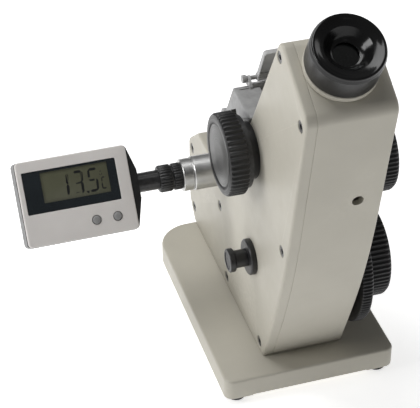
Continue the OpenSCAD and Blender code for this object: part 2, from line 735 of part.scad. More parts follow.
base_plate();
rubber_feet();
housing();
left_cover_plate();
cover_screws();
eyepiece_collar();
eyepiece_cell();
eyepiece_cup();
eye_lens();
field_lens();
reticle();
telescope_barrel();
objective_lens();
compensator_frame();
upper_prism_cell();
upper_amici_prism();
lower_prism_cell();
lower_amici_prism();
dispersion_shaft();
dispersion_handwheel();
dispersion_scale_ring();
shaft_bushes();
index_shaft();
index_handwheel();
index_handwheel_rim();
scale_sector();
scale_glass();
swing_mirror();
reading_tube();
reading_prism();
calibration_screw();
condenser_bush();
condenser_knob();
condenser_lens();
refracting_prism_seat();
refracting_prism();
entering_prism_seat();
entering_prism();
prism_hinge_pin();
lower_water_nozzles();
upper_water_nozzles();
reflector_frame();
reflector_mirror();
reflector_pin();
light_shutter();
keeper_pin();
lock_flange();
lock_shaft();
lock_cam();
lock_handwheel();
lock_wheel_disc();
thermometer_seat();
thermometer_nut();
thermometer_probe();
display_back_shell();
display_front_shell();
display_window();
display_electronics();
display_buttons_left();
display_buttons_right();
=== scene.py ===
import bpy, bmesh, json, math
from mathutils import Matrix, Vector


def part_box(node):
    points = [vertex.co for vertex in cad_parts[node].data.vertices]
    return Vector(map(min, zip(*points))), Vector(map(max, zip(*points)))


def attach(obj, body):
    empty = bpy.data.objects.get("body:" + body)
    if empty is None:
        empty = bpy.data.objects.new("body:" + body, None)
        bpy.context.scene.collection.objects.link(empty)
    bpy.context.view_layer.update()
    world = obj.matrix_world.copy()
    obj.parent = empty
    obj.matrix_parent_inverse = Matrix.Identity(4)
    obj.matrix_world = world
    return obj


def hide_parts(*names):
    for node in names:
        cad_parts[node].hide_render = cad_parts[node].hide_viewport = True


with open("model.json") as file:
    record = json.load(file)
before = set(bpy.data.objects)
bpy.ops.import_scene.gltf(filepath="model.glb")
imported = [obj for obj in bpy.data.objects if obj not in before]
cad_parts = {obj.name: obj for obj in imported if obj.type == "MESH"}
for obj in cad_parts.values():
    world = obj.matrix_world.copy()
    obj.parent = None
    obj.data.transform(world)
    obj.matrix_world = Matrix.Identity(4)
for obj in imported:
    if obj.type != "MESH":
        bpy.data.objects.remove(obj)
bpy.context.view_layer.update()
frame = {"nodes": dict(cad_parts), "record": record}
NODES = frame["nodes"]
SLOTS = {s["node"]: s["material_slot"] for s in frame["record"]["subparts"]}
BODY = {n: b for b, ns in frame["record"]["behaviour"]["bodies"].items() for n in ns}
lo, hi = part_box("base_plate")
DATUM = Vector(((lo.x + hi.x) / 2, lo.y, hi.z))      # middle of the base's front edge, on top of the base
MM = 0.001
INST = Matrix.Translation(DATUM) @ Matrix.Scale(MM, 4)


def at(x, y, z, ax=0.0):
    return INST @ Matrix.Translation((x, y, z)) @ Matrix.Rotation(math.radians(ax), 4, "X")


TEL = at(1, -14.4, 200, 30)
SLOPE = at(0, 21, 179.1, 30)
HEAD = at(0, 90, 80, -37)
REFL = at(0, 75.8, 146.4, 27.6)
LOCK, COND, INDEX, THERM = (40.5, 125.0), (37.0, 55.9), (37.0, 45.2), (90.0, 80.0)
DISP = (-14.4 + 98.5 * 0.5, 200 - 98.5 * math.cos(math.radians(30)))
HINGE, KEEP, RF = (98.5, 110.15), (62.3, 122.2), (75.8, 146.4)
CAL = (10.4, 130.9)


def axle(p):
    """Frame with local z along the row's X, through the point [y, z]."""
    return INST @ Matrix.Translation((0, p[0], p[1])) @ Matrix.Rotation(math.radians(90), 4, "Y")


# ------------------------------------------------------------------ materials
def new_mat(name):
    m = bpy.data.materials.new(name)
    m.use_nodes = True
    nt = m.node_tree
    nt.nodes.clear()
    out = nt.nodes.new("ShaderNodeOutputMaterial")
    b = nt.nodes.new("ShaderNodeBsdfPrincipled")
    nt.links.new(b.outputs[0], out.inputs[0])
    tc = nt.nodes.new("ShaderNodeTexCoord")
    return m, nt, b, tc.outputs["Object"]


def noise(nt, vec, scale, detail=3.0, rough=0.55, dims="3D"):
    n = nt.nodes.new("ShaderNodeTexNoise")
    n.noise_dimensions = dims
    n.inputs["Scale"].default_value = scale
    n.inputs["Detail"].default_value = detail
    n.inputs["Roughness"].default_value = rough
    nt.links.new(vec, n.inputs["Vector"])
    return n.outputs["Fac"]


def ranged(nt, fac, a, b, c, d):
    r = nt.nodes.new("ShaderNodeMapRange")
    for i, v in zip(("From Min", "From Max", "To Min", "To Max"), (a, b, c, d)):
        r.inputs[i].default_value = v
    nt.links.new(fac, r.inputs["Value"])
    return r.outputs["Result"]


def mixed(nt, fac, c1, c2):
    m = nt.nodes.new("ShaderNodeMix")
    m.data_type = "RGBA"
    for sock, c in ((6, c1), (7, c2)):
        if isinstance(c, tuple):
            m.inputs[sock].default_value = (*c, 1)
        else:
            nt.links.new(c, m.inputs[sock])
    nt.links.new(fac, m.inputs[0])
    return m.outputs[2]


def bumped(nt, height, dist, strength, normal=None):
    b = nt.nodes.new("ShaderNodeBump")
    b.inputs["Distance"].default_value = dist
    b.inputs["Strength"].default_value = strength
    nt.links.new(height, b.inputs["Height"])
    if normal is not None:
        nt.links.new(normal, b.inputs["Normal"])
    return b.outputs["Normal"]


def worn(nt, vec, col, edge, lo_, hi_):
    """Edges a little lighter or darker where handling has rubbed them."""
    g = nt.nodes.new("ShaderNodeNewGeometry")
    p = ranged(nt, g.outputs["Pointiness"], lo_, hi_, 0, 1)
    n = ranged(nt, noise(nt, vec, 420, 4), 0.38, 0.66, 0.15, 1.0)
    m = nt.nodes.new("ShaderNodeMath")
    m.operation = "MULTIPLY"
    m.use_clamp = True
    nt.links.new(p, m.inputs[0])
    nt.links.new(n, m.inputs[1])
    return mixed(nt, m.outputs[0], col, edge)


def shade(name, dark, light, rough=(0.4, 0.5), metal=0.0, patch=60, grain=1500, depth=0.00005,
          strength=0.3, coat=0.0, spec=0.5, edge=None, mid=None, detail=3.0):
    m, nt, b, vec = new_mat(name)
    col = mixed(nt, ranged(nt, noise(nt, vec, patch, 4), 0.3, 0.7, 0, 1), dark, light)
    if edge:
        col = worn(nt, vec, col, edge, 0.53, 0.62)
    nt.links.new(col, b.inputs["Base Color"])
    nt.links.new(ranged(nt, noise(nt, vec, patch * 3.3, 3), 0.3, 0.7, *rough), b.inputs["Roughness"])
    b.inputs["Metallic"].default_value = metal
    b.inputs["Specular IOR Level"].default_value = spec
    b.inputs["Coat Weight"].default_value = coat
    b.inputs["Coat Roughness"].default_value = 0.12
    nrm = bumped(nt, noise(nt, vec, grain, detail), depth, strength)
    if mid:
        nrm = bumped(nt, noise(nt, vec, mid[0], 1.5), mid[1], mid[2], nrm)
    nt.links.new(nrm, b.inputs["Normal"])
    return m


def turned(name, dark, light, centre, rough=(0.22, 0.34), metal=1.0, lines=2600, depth=0.00002,
           strength=0.35, spec=0.5):
    """Lathe marks: rings on a face and bands round a cylinder that runs along X."""
    m, nt, b, vec = new_mat(name)
    sub = nt.nodes.new("ShaderNodeVectorMath")
    sub.operation = "SUBTRACT"
    sub.inputs[1].default_value = (0, DATUM.y + centre[0] * MM, DATUM.z + centre[1] * MM)
    nt.links.new(vec, sub.inputs[0])
    flat = nt.nodes.new("ShaderNodeVectorMath")
    flat.operation = "MULTIPLY"
    flat.inputs[1].default_value = (0, 1, 1)
    nt.links.new(sub.outputs[0], flat.inputs[0])
    ln = nt.nodes.new("ShaderNodeVectorMath")
    ln.operation = "LENGTH"
    nt.links.new(flat.outputs[0], ln.inputs[0])
    sep = nt.nodes.new("ShaderNodeSeparateXYZ")
    nt.links.new(sub.outputs[0], sep.inputs[0])
    cmb = nt.nodes.new("ShaderNodeCombineXYZ")
    nt.links.new(ln.outputs["Value"], cmb.inputs[0])
    nt.links.new(sep.outputs[0], cmb.inputs[1])
    rings = noise(nt, cmb.outputs[0], lines, 2, 0.6, "2D")
    col = mixed(nt, ranged(nt, noise(nt, vec, 90, 4), 0.3, 0.7, 0, 1), dark, light)
    nt.links.new(col, b.inputs["Base Color"])
    nt.links.new(ranged(nt, rings, 0.3, 0.7, *rough), b.inputs["Roughness"])
    b.inputs["Metallic"].default_value = metal
    b.inputs["Specular IOR Level"].default_value = spec
    nt.links.new(bumped(nt, rings, depth, strength), b.inputs["Normal"])
    return m


M = {
    "cream_paint": shade("cream_paint", (0.485, 0.462, 0.397), (0.515, 0.491, 0.422), (0.38, 0.50), patch=30, grain=900,
                         depth=0.00006, strength=0.25, spec=0.35, edge=(0.56, 0.535, 0.465), mid=(260, 0.00004, 0.22)),
    "grey_paint": shade("grey_paint", (0.27, 0.27, 0.27), (0.36, 0.36, 0.36), (0.30, 0.46), patch=230, grain=700,
                        depth=0.0001, strength=0.45, spec=0.5, edge=(0.46, 0.46, 0.46), mid=(340, 0.00018, 0.5)),
    "reflector_grey": shade("reflector_grey", (0.46, 0.46, 0.46), (0.54, 0.54, 0.54), (0.35, 0.5), patch=200, grain=900,
                            depth=0.00005, strength=0.3, edge=(0.6, 0.6, 0.6)),
    "black_plastic": shade("black_plastic", (0.008, 0.008, 0.0085), (0.014, 0.014, 0.0145), (0.30, 0.44), patch=70,
                           grain=2200, depth=0.00002, strength=0.2, edge=(0.035, 0.035, 0.036)),
    "eyecup_plastic": shade("eyecup_plastic", (0.005, 0.005, 0.0052), (0.009, 0.009, 0.0092), (0.13, 0.19), patch=50,
                            grain=1800, depth=0.00001, strength=0.12, coat=0.0, spec=0.4, edge=(0.025, 0.025, 0.026)),
    "white_plastic": shade("white_plastic", (0.72, 0.69, 0.665), (0.77, 0.74, 0.715), (0.36, 0.48), patch=40, grain=1900,
                           depth=0.00003, strength=0.25, edge=(0.74, 0.72, 0.70)),
    "window_plastic": shade("window_plastic", (0.010, 0.014, 0.017), (0.015, 0.020, 0.024), (0.05, 0.12), patch=60,
                            grain=300, depth=0.00001, strength=0.05, coat=0.4),
    "grey_button": shade("grey_button", (0.25, 0.25, 0.25), (0.30, 0.30, 0.30), (0.35, 0.48), patch=400, grain=2600,
                         depth=0.00002, strength=0.3),
    "electronics": shade("electronics", (0.02, 0.10, 0.045), (0.03, 0.14, 0.06), (0.35, 0.5), patch=300),
    "rubber": shade("rubber", (0.012, 0.012, 0.012), (0.022, 0.022, 0.022), (0.62, 0.8), patch=200, grain=1400,
                    depth=0.00006, strength=0.5, spec=0.35),
    "satin_metal": shade("satin_metal", (0.60, 0.60, 0.61), (0.70, 0.70, 0.71), (0.24, 0.36), 1.0, patch=120,
                         grain=3000, depth=0.00001, strength=0.2),
    "steel": shade("steel", (0.50, 0.50, 0.51), (0.60, 0.60, 0.61), (0.16, 0.3), 1.0, patch=200, grain=2600,
                   depth=0.00001, strength=0.25),
    "dark_steel": shade("dark_steel", (0.050, 0.050, 0.050), (0.10, 0.10, 0.10), (0.28, 0.45), 0.7, patch=500,
                        grain=2600, depth=0.00002, strength=0.3, edge=(0.22, 0.22, 0.22)),
    "black_anodised": shade("black_anodised", (0.012, 0.012, 0.014), (0.022, 0.022, 0.024), (0.34, 0.5), 0.6,
                            patch=150, grain=2400, depth=0.00001, strength=0.2),
    "brass": shade("brass", (0.58, 0.40, 0.14), (0.70, 0.50, 0.20), (0.2, 0.34), 1.0, patch=160, grain=2600,
                   depth=0.00001, strength=0.2),
    "mirror": shade("mirror", (0.82, 0.83, 0.84), (0.86, 0.87, 0.88), (0.02, 0.05), 1.0, patch=60, grain=200,
                    depth=0.000003, strength=0.05),
    "sleeve": turned("sleeve", (0.56, 0.56, 0.55), (0.64, 0.64, 0.63), THERM, (0.34, 0.44), lines=2000,
                     depth=0.00001, strength=0.08),
    "lock_disc": turned("lock_disc", (0.115, 0.115, 0.114), (0.15, 0.15, 0.148), LOCK, (0.34, 0.46), 0.5, lines=2800),
    "disp_ring": turned("disp_ring", (0.56, 0.56, 0.56), (0.68, 0.68, 0.68), DISP, (0.22, 0.34)),
    "wheel_lock": turned("wheel_lock", (0.008, 0.008, 0.0085), (0.014, 0.014, 0.0145), LOCK, (0.28, 0.42), 0.0, 1600),
    "wheel_disp": turned("wheel_disp", (0.008, 0.008, 0.0085), (0.014, 0.014, 0.0145), DISP, (0.28, 0.42), 0.0, 1600),
    "wheel_index": turned("wheel_index", (0.008, 0.008, 0.0085), (0.014, 0.014, 0.0145), INDEX, (0.28, 0.42), 0.0, 1600),
    "lcd": shade("lcd", (0.095, 0.097, 0.062), (0.115, 0.117, 0.075), (0.12, 0.20), patch=60, grain=2500,
                 depth=0.000004, strength=0.1, coat=0.3),
    "lcd_ink": shade("lcd_ink", (0.006, 0.007, 0.007), (0.010, 0.011, 0.011), (0.3, 0.4), patch=300),
}
gm, gnt, gb, gvec = new_mat("glass")
gb.inputs["Base Color"].default_value = (0.93, 0.97, 0.97, 1)
gb.inputs["Transmission Weight"].default_value = 1.0
gb.inputs["IOR"].default_value = 1.5
gnt.links.new(ranged(gnt, noise(gnt, gvec, 120, 3), 0.3, 0.7, 0.01, 0.05), gb.inputs["Roughness"])
gnt.links.new(bumped(gnt, noise(gnt, gvec, 60, 2), 0.00001, 0.03), gb.inputs["Normal"])
M["glass"] = gm

for name, o in NODES.items():
    o.data.materials.clear()
    o.data.materials.append(M[SLOTS[name]])
NODES["thermometer_seat"].data.materials[0] = M["sleeve"]
NODES["reflector_pin"].data.materials[0] = M["grey_paint"]
NODES["condenser_lens"].data.materials[0] = M["black_anodised"]


# ------------------------------------------------------------------ mesh building
def piece(name, bm, matrix, mat, body="instrument", node=None, angle=34):
    bmesh.ops.remove_doubles(bm, verts=bm.verts, dist=0.0005)
    bmesh.ops.recalc_face_normals(bm, faces=bm.faces)
    me = bpy.data.meshes.new(name)
    bm.to_mesh(me)
    bm.free()
    me.transform(matrix)
    o = bpy.data.objects.new(name, me)
    bpy.context.scene.collection.objects.link(o)
    me.materials.append(M[mat])
    o["angle"] = angle
    finish_mesh(o)
    if node:
        nodes = (node,) if isinstance(node, str) else node
        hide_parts(*nodes)
        body = BODY[nodes[0]]
    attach(o, body)
    return o


def finish_mesh(o):
    bm = bmesh.new()
    bm.from_mesh(o.data)
    lim = math.radians(o["angle"])
    for f in bm.faces:
        f.smooth = True
    for e in bm.edges:
        e.smooth = not (len(e.link_faces) == 2 and e.calc_face_angle(0) > lim)
    bm.to_mesh(o.data)
    bm.free()


def cut(o, *cutters):
    """Takes each (bmesh, matrix) cutter out of a piece."""
    dg = None
    for bm, matrix in cutters:
        bmesh.ops.remove_doubles(bm, verts=bm.verts, dist=0.0005)
        bmesh.ops.recalc_face_normals(bm, faces=bm.faces)
        me = bpy.data.meshes.new("cutter")
        bm.to_mesh(me)
        bm.free()
        me.transform(matrix)
        c = bpy.data.objects.new("cutter", me)
        bpy.context.scene.collection.objects.link(c)
        mod = o.modifiers.new("cut", "BOOLEAN")
        mod.operation = "DIFFERENCE"
        mod.solver = "EXACT"
        mod.object = c
        bpy.context.view_layer.update()
        dg = bpy.context.evaluated_depsgraph_get()
        new = bpy.data.meshes.new_from_object(o.evaluated_get(dg))
        o.modifiers.clear()
        old = o.data
        o.data = new
        bpy.data.meshes.remove(old)
        bpy.data.objects.remove(c)
    finish_mesh(o)
    return o


def loft(rings, cap0=True, cap1=True, closed=False):
    bm = bmesh.new()
    vs = [[bm.verts.new(p) for p in r] for r in rings]
    n = len(rings[0])
    pairs = list(zip(vs, vs[1:])) + ([(vs[-1], vs[0])] if closed else [])
    for a, b in pairs:
        for i in range(n):
            j = (i + 1) % n
            bm.faces.new((a[i], a[j], b[j], b[i]))
    if not closed:
        if cap0:
            bm.faces.new(list(reversed(vs[0])))
        if cap1:
            bm.faces.new(vs[-1])
    return bm


def revolve(profile, n=96, closed=False, rib=None):
    """profile: (radius, z[, rib depth]) points; rib: (count, sharpness) gives a ribbed rim; the sharpness is not used.
    """
    k = n if not rib else rib[0] * 8
    bm = bmesh.new()
    rows = []
    for p in profile:
        r, z = p[0], p[1]
        d = p[2] if len(p) > 2 else 0
        if r < 1e-6:
            rows.append([bm.verts.new((0, 0, z))])
            continue
        row = []
        for i in range(k):
            a = 2 * math.pi * i / k
            w = 0
            if d:
                ph = (i % 8) / 8
                w = (0, 0, 0.25, 0.8, 1, 1, 0.8, 0.25)[i % 8]
            row.append(bm.verts.new(((r - d * w) * math.cos(a), (r - d * w) * math.sin(a), z)))
        rows.append(row)
    pairs = list(zip(rows, rows[1:])) + ([(rows[-1], rows[0])] if closed else [])
    for a, b in pairs:
        for i in range(k):
            j = (i + 1) % k
            if len(a) == 1 and len(b) == 1:
                continue
            if len(a) == 1:
                bm.faces.new((a[0], b[j], b[i]))
            elif len(b) == 1:
                bm.faces.new((a[i], a[j], b[0]))
            else:
                bm.faces.new((a[i], a[j], b[j], b[i]))
    return bm


def arc(cr, cz, r, a0, a1, n=5):
    return [(cr + r * math.cos(math.radians(a0 + (a1 - a0) * i / n)), cz + r * math.sin(math.radians(a0 + (a1 - a0) * i / n)))
            for i in range(n + 1)]


def fillet(p0, p1, p2, r, step=9.0):
    p0, p1, p2 = Vector(p0[:2]), Vector(p1[:2]), Vector(p2[:2])
    if r <= 0:
        return [tuple(p1)]
    a, b = (p0 - p1).normalized(), (p2 - p1).normalized()
    h = math.acos(max(-1, min(1, a.dot(b)))) / 2
    c = p1 + (a + b).normalized() * (r / math.sin(h))
    s, e = p1 + a * (r / math.tan(h)) - c, p1 + b * (r / math.tan(h)) - c
    a0 = math.atan2(s.y, s.x)
    da = math.atan2(e.y, e.x) - a0
    da = da - 2 * math.pi if da > math.pi else da + 2 * math.pi if da < -math.pi else da
    n = max(math.ceil(abs(math.degrees(da)) / step), math.ceil(r * abs(da) / 6))
    return [(c.x + r * math.cos(a0 + da * i / n), c.y + r * math.sin(a0 + da * i / n)) for i in range(n + 1)]


def rounded(q):
    m = len(q)
    return [p for i in range(m) for p in fillet(q[i - 1], q[i], q[(i + 1) % m], q[i][2])]


def rect(x0, y0, x1, y1, r):
    return rounded([(x0, y0, r), (x1, y0, r), (x1, y1, r), (x0, y1, r)])


def shrink(pts, t):
    """Outline moved in by t, each corner along its own bisector."""
    out, m = [], len(pts)
    for i in range(m):
        p0, p1, p2 = Vector(pts[i - 1]), Vector(pts[i]), Vector(pts[(i + 1) % m])
        a, b = (p1 - p0).normalized(), (p2 - p1).normalized()
        n0, n1 = Vector((-a.y, a.x)), Vector((-b.y, b.x))
        v = (n0 + n1) * (t / max(1 + n0.dot(n1), 0.3))
        out.append(tuple(p1 + v))
    return out


def slab(pts, a0, a1, r0, r1, place, n=4):
    """Solid between a0 and a1 over an outline, with edges of radius r0 and r1. place(u, v, a) gives the 3-D point."""
    rings = []
    if r0 > 0:
        for i in range(n + 1):
            t = math.pi / 2 * i / n
            rings.append([place(u, v, a0 + r0 * (1 - math.sin(t))) for u, v in shrink(pts, r0 * (1 - math.cos(t)))])
        rings.reverse()
    else:
        rings.append([place(u, v, a0) for u, v in pts])
    if r1 > 0:
        for i in range(n + 1):
            t = math.pi / 2 * i / n
            rings.append([place(u, v, a1 - r1 * (1 - math.sin(t))) for u, v in shrink(pts, r1 * (1 - math.cos(t)))])
    else:
        rings.append([place(u, v, a1) for u, v in pts])
    return loft(rings)


def YZ(u, v, a):      # [y, z] outline run along X
    return Vector((a, u, v))


def XY(u, v, a):      # [x, y] outline run along Z
    return Vector((u, v, a))


def FACE(u, v, a):    # outline in the display's face, a is the height out of the face (towards -y)
    return Vector((u, -a, v))


def rod(r, a0, a1, n=48, c=0.0):
    """Cylinder with chamfered ends along local z."""
    return revolve([(0, a0), (r - c, a0), (r, a0 + c), (r, a1 - c), (r - c, a1), (0, a1)] if c else
                   [(0, a0), (r, a0), (r, a1), (0, a1)], n)


def box(x0, y0, z0, x1, y1, z1):
    return slab([(x0, y0), (x1, y0), (x1, y1), (x0, y1)], z0, z1, 0, 0, XY)


def join(*parts):
    """One bmesh from several (bmesh, matrix) parts."""
    bm = bmesh.new()
    for p, matrix in parts:
        me = bpy.data.meshes.new("t")
        p.to_mesh(me)
        p.free()
        me.transform(matrix)
        bm.from_mesh(me)
        bpy.data.meshes.remove(me)
    return bm


I4 = Matrix.Identity(4)

# ------------------------------------------------------------------ base and body
base_q = rounded([(-50, 0, 5), (50, 0, 5), (50, 148, 20), (-50, 148, 20)])
base = piece("base_casting", slab(base_q, -13, 0, 0.8, 1.3, XY, 5), INST, "cream_paint", node="base_plate")
cut(base, (slab(rect(-38, 18, 38, 130, 8), -14, -7, 0, 0, XY), INST),
    (box(-34, -2, -14, 34, 11, -12), INST))

body_q = [(16, 0, 0), (149.5, 0, 3), (159.6, 12, 8), (160.4, 55, 6), (141, 71, 8), (83.4, 71, 8),
          (0.04, 215.4, 6), (-39.5, 192.3, 7), (-13.6, 71.4, 480)]
body_o = rounded(body_q)
SCREWS = [(0.2, 205.0), (-31.0, 184.8), (96.8, 48.3), (83.1, 5.6), (22.3, 6.0), (-10.1, 94.5), (149.8, 10.1), (153.2, 52.0)]
SLOPE_CUT = (box(-9, -6, -106, 11, 2, -89), SLOPE)
casting = piece("body_casting", slab(body_o, -17.5, 23.75, 0.35, 1.4, YZ, 5), INST, "cream_paint", node="housing")
cut(casting,
    (slab(shrink(rounded([(a, b, max(c, 5)) for a, b, c in body_q]), 4), -18.5, 19.75, 0, 0, YZ), INST),
    (rod(13.5, -12, 12), TEL),
    (rod(7, 18, 26), axle(DISP)), (rod(7, 18, 26), axle(INDEX)),
    (rod(3.15, -33, -19), INST @ Matrix.Translation((CAL[0], 0, CAL[1])) @ Matrix.Rotation(math.radians(-90), 4, "X")),
    SLOPE_CUT)
cover = piece("body_cover", slab(body_o, -23.5, -17.5, 1.4, 0.35, YZ, 5), INST, "cream_paint", node="left_cover_plate")
holes = []
for p in SCREWS:
    holes.append((revolve([(0, -25), (3.6, -25), (3.5, -23.4), (3.3, -23.2), (3.3, -20.9), (0, -20.9)], 40), axle(p)))
holes += [(rod(7, -25, -16), axle(LOCK)), (rod(8, -25, -16), axle(COND))]
cut(cover, *holes)

# ------------------------------------------------------------------ eyepiece
piece("eyepiece_base_ring", revolve([(11.06, -8), (13.4, -8), (13.4, 6.2), (18.5, 6.2), (18.9, 6.6)]
      + arc(18.0, 8.4, 0.9, 0, 90) + [(13, 9.3), (11.06, 9.3)], 96, closed=True), TEL, "cream_paint", node="eyepiece_collar")
cup = [(17.9, 23.2), (18.7, 23.3), (18.55, 24.1), (18.15, 24.7)] + arc(17.15, 25.1, 1.0, 0, 100, 8) \
      + [(16.3, 25.9), (15.4, 25.2), (13.6, 24.4), (12.1, 24.0), (11.6, 23.4), (9.6, 20.9), (7.9, 18.9), (7.2, 18.5),
         (6.6, 18.3), (6.6, 17.9), (12.7, 18.2), (17.0, 20.0)]
piece("eyepiece_eyecup", revolve(cup, 128, closed=True), TEL, "eyecup_plastic", node="eyepiece_cup")
skirt = [(12.7, 9.7)] + arc(17.9, 10.5, 0.8, -90, 0, 4) + [(18.7, 23.0), (18.4, 23.3), (17.0, 23.3), (17.0, 19.6), (12.7, 18.0)]
piece("eyepiece_skirt", revolve(skirt, 128, closed=True), TEL, "black_plastic", body=BODY["eyepiece_cup"])


# ------------------------------------------------------------------ handwheels
def wheel(name, node, p, x0, x1, r, n, d, face, mat, bore=4.01, c1=1.3):
    """Ribbed wheel along X: x0 is the body side, x1 the outer side; face: (recess radius, recess depth)."""
    s = 1 if x1 > x0 else -1
    c = 0.9
    pr = [(bore, x0), (r - 2.0, x0), (r - 0.8, x0 + s * 0.25, 0), (r - 0.1, x0 + s * c, d), (r, x0 + s * (c + 0.4), d),
          (r, x1 - s * (c1 + 0.5), d), (r - 0.25 * c1, x1 - s * c1 * 0.75, d * 0.7), (r - 0.6 * c1, x1 - s * c1 * 0.3, 0), (r - 1.2 * c1, x1, 0)]
    if face:
        pr += [(face[0] + 0.5, x1), (face[0], x1 - s * 0.3), (face[0] - 0.2, x1 - s * face[1]), (bore, x1 - s * face[1])]
    else:
        pr += [(bore, x1)]
    return piece(name, revolve(pr, rib=(n, 1), closed=True), axle(p), mat, node=node, angle=40)


wheel("lock_wheel", "lock_handwheel", LOCK, -31, -41.6, 22.4, 46, 0.9, (17.0, 0.7), "wheel_lock", 5.01)
piece("lock_face_disc", revolve([(0, -40.9), (16.9, -40.9), (16.9, -41.3), (16.6, -41.5), (6, -41.45), (0, -41.42)], 112),
      axle(LOCK), "lock_disc", node="lock_wheel_disc")
wheel("dispersion_wheel", "dispersion_handwheel", DISP, 38.4, 50.5, 23.0, 58, 0.9, (15.4, 0.6), "wheel_disp", c1=1.9)
wheel("index_wheel", "index_handwheel", INDEX, 34.4, 50.0, 26.8, 60, 1.0, (20.5, 0.6), "wheel_index", c1=1.9)
wheel("index_rim", "index_handwheel_rim", INDEX, 27.6, 34.2, 38.8, 108, 0.9, None, "wheel_index")
piece("dispersion_dial", revolve([(4.01, 26.2), (12, 26.2), (12, 29), (16.8, 29), (17.2, 29.4), (17.2, 37.8), (16.8, 38.2),
      (4.01, 38.2)], 112, closed=True), axle(DISP), "disp_ring", node="dispersion_scale_ring")
# graduations round the dispersion dial
marks = []
for i in range(60):
    a = math.radians(i * 6)
    w, l0 = 0.16, (34.4 if i % 5 else 32.6)
    marks.append((box(-w, -0.02, l0, w, 0.05, 37.6), Matrix.Rotation(a, 4, "Z") @ Matrix.Translation((0, 17.2, 0))))
piece("dispersion_dial_marks", join(*marks), axle(DISP), "lcd_ink", body="dispersion_drive", angle=30)

# ------------------------------------------------------------------ lock, condenser
piece("lock_boss", revolve([(5.05, -28), (14.8, -28), (15.5, -27.3), (15.5, -24), (15.2, -23.5), (6.98, -23.5), (6.98, -17.5),
      (5.05, -17.5)], 96, closed=True), axle(LOCK), "wheel_lock", node="lock_flange")
piece("condenser_flange", revolve([(5.06, -26.9), (9.6, -26.9), (10.2, -26.3), (10.2, -23.9), (10.0, -23.5), (7.98, -23.5),
      (7.98, -15.1), (5.06, -15.1)], 80, closed=True), axle(COND), "black_plastic", node="condenser_bush")
piece("condenser_spool", revolve([(5.1, -37.6), (6.3, -37.6), (6.7, -37.2), (6.7, -34.7), (6.3, -34.2)] +
      [(5.3, -34.1), (5.0, -33.7), (5.0, -14.8), (6.4, -14.8), (6.4, -13.2), (3.6, -13.2), (3.6, -36.4), (5.1, -36.4)], 80,
      closed=True), axle(COND), "black_plastic", node="condenser_knob")


# ------------------------------------------------------------------ prism seats
def slope_pt(n, z):
    c, s = math.cos(math.radians(30)), 0.5
    d = (179.1 + n * s - z) / c
    return (21 + n * c + d * s, z)


def soft(pts, r):
    return rounded([(p[0], p[1], r) for p in pts])


low = piece("refracting_seat", slab(soft([slope_pt(0, 76), slope_pt(28, 76), slope_pt(28, 110), slope_pt(0, 110)], 0.7),
            -23.2, 19, 1.1, 1.1, YZ, 4), INST, "grey_paint", node="refracting_prism_seat")
z0 = 110.3
top = piece("entering_seat", slab(soft([slope_pt(1, z0), slope_pt(28, z0), slope_pt(28, 143), slope_pt(1, 143)], 0.9),
            -23.2, 19, 1.1, 1.1, YZ, 4), INST, "grey_paint", node="entering_prism_seat")
# lower seat: pocket of the prism, thermometer well, window to the rear, gap for the hinge
pocket = slab([(65, 110.0), (77, 97), (89, 110.0), (89, 112), (65, 112)], -12, 12, 0, 0, YZ)
cut(low, (pocket, INST), (rod(5, -26, -9), axle(THERM)),
    (slab([(81, 101.33), (105.5, 92.9), (102, 98.9), (87, 107.83)], -6, 4, 0, 0, YZ), INST),
    (box(-8, -2, -104, 8, 14, -91), SLOPE))
knuckles = []
for a, b in ((-21, -14.2), (8.2, 15)):
    knuckles.append((revolve([(2.04, a), (3.3, a), (3.6, a + 0.3), (3.6, b - 0.3), (3.3, b), (2.04, b)], 48, closed=True), axle(HINGE)))
    knuckles.append((slab([(92, 103.5), (98, 103.5), (99.2, 106.8), (92, 109)], a, b, 0.3, 0.3, YZ), INST))
for x in (-13.2, 8.1):
    knuckles.append((slab(rect(26.5, -109.4, 31.2, -104.8, 1.2), x, x + 2.1, 0.3, 0.3, YZ), SLOPE))
piece("refracting_seat_knuckles", join(*knuckles), I4, "grey_paint")
# upper seat: prism pocket, lighting window, fine line before the rear edge, small hole in the left side
dip = slab([(66, 109), (88, 109), (88, z0), (82, 124), (72, 124), (66, z0)], -11, 11, 0, 0, YZ)
cut(top, (dip, INST), (box(-9, 62, 119.5, 9, 71, 146), INST),
    (box(-20.5, slope_pt(28, 143)[0] - 3.4, 142.3, 16.5, slope_pt(28, 143)[0] - 2.7, 145), INST),
    (rod(1.52, -24, -19), axle(KEEP)))
mid = [(revolve([(2.04, -13.9), (3.3, -13.9), (3.6, -13.6), (3.6, 7.6), (3.3, 7.9), (2.04, 7.9)], 48, closed=True), axle(HINGE)),
       (slab([(90.5, z0 + 0.2), (97.8, z0 + 0.2), (98.2, z0 + 3.2), (90.5, z0 + 5.2)], -13.9, 7.9, 0.3, 0.3, YZ), INST)]
for x in (-14.6, 17.3):
    mid.append((slab(rounded([(69.8, 142.2, 0), (76.9, 142.2, 0), (78.2, 146.4, 2.3), (75.8, 148.8, 2.3), (73.0, 147.2, 2), (69.8, 144.4, 1)]),
                     x, x + 1.7, 0.2, 0.2, YZ), INST))
mid.append((slab([(71.6, 142.6), (73.0, 142.6), (73.0, 145.3), (71.6, 145.3)], -12.9, 17.3, 0, 0, YZ), INST))
piece("entering_seat_lugs", join(*mid), I4, "grey_paint", body="entering_seat")

# ------------------------------------------------------------------ reflector, shutter
frame_o, frame_i = rect(-9, 0.4, 17, 24.6, 1.6), rect(-7.4, 3.6, 15.4, 23.0, 0.8)


